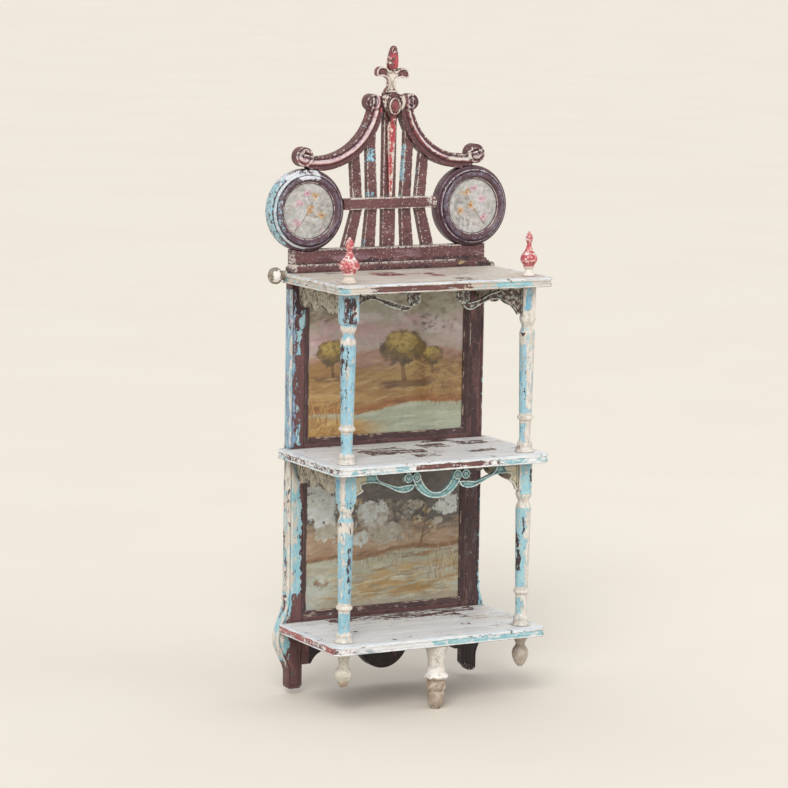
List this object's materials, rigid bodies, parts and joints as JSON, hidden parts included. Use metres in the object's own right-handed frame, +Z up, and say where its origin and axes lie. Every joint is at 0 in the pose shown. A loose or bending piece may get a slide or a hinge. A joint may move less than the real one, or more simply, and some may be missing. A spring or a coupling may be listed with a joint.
{
  "type": "wall rack",
  "caption": "Wall-hung painted wooden rack with shelves on turned columns, scalloped aprons, painted glass panels in the back, and a carved crest with glass roundels and scrolled arms.",
  "frame": {"origin": "on the wall plane, midway between the two hanging holes", "axes": "+X to the right seen from the front, front faces -Y, +Y into the wall, +Z up"},
  "size_m": [0.466, 0.2309, 1.1243],
  "materials": {
    "frame_paint": "maroon-brown paint worn to cream and pale blue, satin",
    "shelf_paint": "off-white paint with long worn streaks, matt",
    "column_paint": "chipped turquoise paint over brown, satin",
    "crest_paint": "plum-brown paint worn to cream, satin",
    "apron_paint": "dark brown and turquoise paint with pale edges, satin",
    "turning_paint": "cream-beige worn paint, satin",
    "roundel_paint": "purple-blue paint with cream ring lines, satin",
    "carving_paint": "deep red and cream worn paint, satin",
    "raw_board": "unpainted aged board, matt",
    "painted_glass": "glass painted on its back with a plain landscape, gloss",
    "fixings": "dull steel"
  },
  "bodies": {
    "root": {"left_stile": "frame_paint", "right_stile": "frame_paint", "top_rail": "frame_paint", "middle_rail": "frame_paint", "bottom_rail": "frame_paint", "upper_moulding": "frame_paint", "lower_moulding": "frame_paint", "upper_pane": "painted_glass", "lower_pane": "painted_glass", "left_roundel_glass": "painted_glass", "right_roundel_glass": "painted_glass", "upper_backboard": "raw_board", "lower_backboard": "raw_board", "backboard_pins": "fixings", "hanging_plates": "fixings", "hanging_plate_screws": "fixings", "frame_screws": "fixings", "top_shelf": "shelf_paint", "middle_shelf": "shelf_paint", "bottom_shelf": "shelf_paint", "upper_left_column": "column_paint", "upper_right_column": "column_paint", "lower_left_column": "column_paint", "lower_right_column": "column_paint", "left_finial": "turning_paint", "right_finial": "turning_paint", "left_pendant": "turning_paint", "right_pendant": "turning_paint", "centre_pendant": "turning_paint", "left_side_knob": "turning_paint", "right_side_stub": "turning_paint", "upper_front_apron": "apron_paint", "lower_front_apron": "apron_paint", "upper_left_side_apron": "apron_paint", "upper_right_side_apron": "apron_paint", "lower_left_side_apron": "apron_paint", "lower_right_side_apron": "apron_paint", "crest_base_rail": "crest_paint", "crest_plinth": "crest_paint", "crest_cross_rail": "crest_paint", "crest_slat_1": "crest_paint", "crest_slat_2": "crest_paint", "crest_slat_3": "crest_paint", "crest_slat_4": "crest_paint", "crest_slat_5": "crest_paint", "left_scroll_arm": "crest_paint", "right_scroll_arm": "crest_paint", "left_roundel_disc": "roundel_paint", "right_roundel_disc": "roundel_paint", "left_roundel_ring": "roundel_paint", "right_roundel_ring": "roundel_paint", "cartouche": "carving_paint", "cabochon": "carving_paint", "centre_drop_strip": "carving_paint", "fleur": "carving_paint"}
  },
  "joints": []
}
